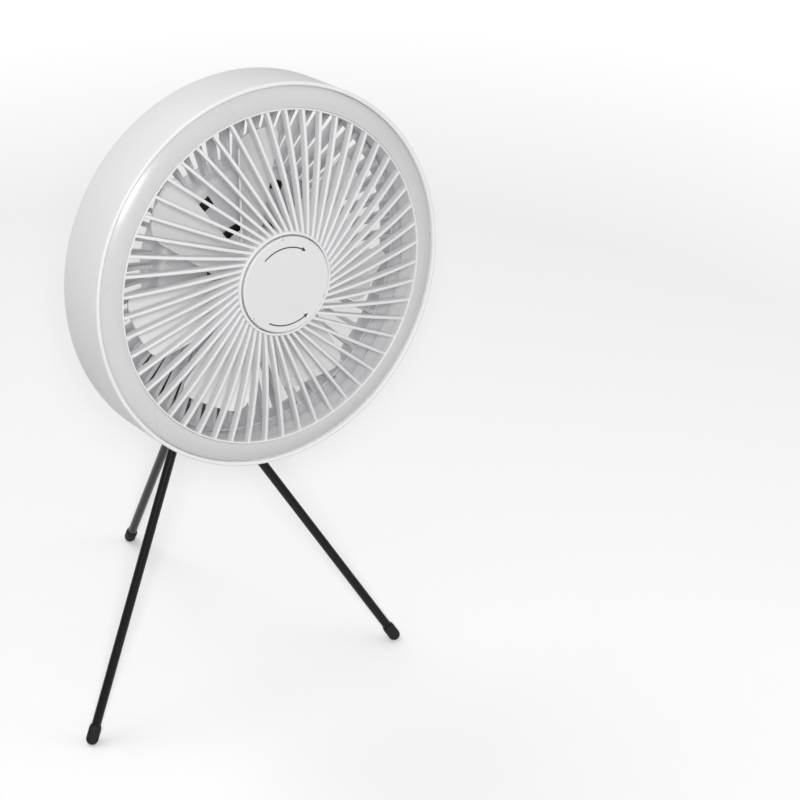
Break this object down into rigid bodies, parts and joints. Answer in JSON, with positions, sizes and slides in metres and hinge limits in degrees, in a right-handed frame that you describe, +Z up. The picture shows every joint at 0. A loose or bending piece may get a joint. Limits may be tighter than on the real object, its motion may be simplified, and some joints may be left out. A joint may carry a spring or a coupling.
{
  "type": "portable camping fan",
  "caption": "Round white camping fan head with a ring light and ribbed grille, tilting on a folding black three-legged stand, with a hanging bail on its back.",
  "frame": {"origin": "on the ground, under the middle of the whole object's outline", "axes": "+Z up, the face looks towards -Y and slightly up, +X to the right for a person in front of the fan"},
  "size_m": [0.2164, 0.2266, 0.4016],
  "materials": {
    "shell": "satin",
    "blades": "satin",
    "diffuser": "satin",
    "board": "satin",
    "led_board": "satin",
    "led": "gloss",
    "felt": "matte",
    "steel": "satin",
    "magnet": "matte",
    "winding": "satin",
    "motor_mount": "satin",
    "cell": "satin",
    "inner_black": "matte",
    "button": "satin",
    "socket": "polished",
    "lens": "gloss",
    "black_plastic": "satin",
    "black_steel": "gloss",
    "black_cast": "satin",
    "rubber": "matte"
  },
  "bodies": {
    "stand": {"crown": "black_cast", "leg_pins": "black_steel", "swivel_washer": "rubber"},
    "leg_rear": {"leg_knuckle_rear": "black_plastic", "leg_rod_rear": "black_steel", "foot_cap_rear": "rubber"},
    "leg_left": {"leg_knuckle_left": "black_plastic", "leg_rod_left": "black_steel", "foot_cap_left": "rubber"},
    "leg_right": {"leg_knuckle_right": "black_plastic", "leg_rod_right": "black_steel", "foot_cap_right": "rubber"},
    "neck": {"neck_arm": "black_cast", "swivel_screw": "black_steel"},
    "head": {"housing_drum": "shell", "light_diffuser": "diffuser", "led_board": "led_board", "led_chips": "led", "front_grille": "shell", "scent_pad": "felt", "motor_stator": "winding", "motor_mount": "motor_mount", "shaft_bearings": "steel", "motor_screws": "steel", "rear_cover": "shell", "rear_cover_screws": "steel", "pod_cover": "shell", "pod_screws": "steel", "battery_cells": "cell", "battery_tray": "inner_black", "control_board": "board", "board_posts": "inner_black", "button_switches": "board", "charge_socket": "socket", "charge_lenses": "lens", "bail_posts": "black_plastic", "bail_pins": "black_steel", "tilt_bolt": "black_steel", "tilt_nut": "black_steel"},
    "impeller": {"impeller": "blades", "impeller_screw": "steel", "motor_shaft": "steel", "motor_rotor": "steel", "motor_magnets": "magnet"},
    "scent_cap": {"scent_cap": "shell"},
    "fan_button": {"fan_button": "button"},
    "light_button": {"light_button": "button"},
    "hang_bail": {"hang_bail": "black_plastic"}
  },
  "joints": [
    {"name": "leg_rear_fold", "type": "hinge", "parent": "stand", "child": "leg_rear", "pos_m": [0.00408, 0.00561, 0.17173], "axis": [-0.9949, 0.1011, 0], "range_deg": [0, 31.8]},
    {"name": "leg_left_fold", "type": "hinge", "parent": "stand", "child": "leg_left", "pos_m": [-0.00909, -0.01265, 0.17173], "axis": [0.4099, -0.9121, 0], "range_deg": [0, 31.8]},
    {"name": "leg_right_fold", "type": "hinge", "parent": "stand", "child": "leg_right", "pos_m": [0.01331, -0.01493, 0.17173], "axis": [0.585, 0.8111, 0], "range_deg": [0, 31.8]},
    {"name": "swivel", "type": "hinge", "parent": "stand", "child": "neck", "pos_m": [0.00277, -0.00732, 0.2], "axis": [0, 0, 1], "range_deg": [-170, 170]},
    {"name": "tilt", "type": "hinge", "parent": "neck", "child": "head", "pos_m": [0.00277, -0.04113, 0.25121], "axis": [1, 0, 0], "range_deg": [-50, 30]},
    {"name": "impeller_spin", "type": "hinge", "parent": "head", "child": "impeller", "pos_m": [0.00277, -0.09542, 0.297], "axis": [0, -0.9907, 0.1357], "continuous": true},
    {"name": "scent_cap_twist", "type": "hinge", "parent": "head", "child": "scent_cap", "pos_m": [0.00277, -0.09542, 0.297], "axis": [0, -0.9907, 0.1357], "range_deg": [0, 40]},
    {"name": "fan_button_press", "type": "slide", "parent": "head", "child": "fan_button", "axis": [0, -0.9907, 0.1357], "range_m": [0, 0.0006], "stiffness_N_per_m": 400, "springref_m": -0.001},
    {"name": "light_button_press", "type": "slide", "parent": "head", "child": "light_button", "axis": [0, -0.9907, 0.1357], "range_m": [0, 0.0006], "stiffness_N_per_m": 400, "springref_m": -0.001},
    {"name": "bail_swing", "type": "hinge", "parent": "head", "child": "hang_bail", "pos_m": [0.00277, -0.03592, 0.32904], "axis": [1, 0, 0], "range_deg": [0, 180]}
  ]
}
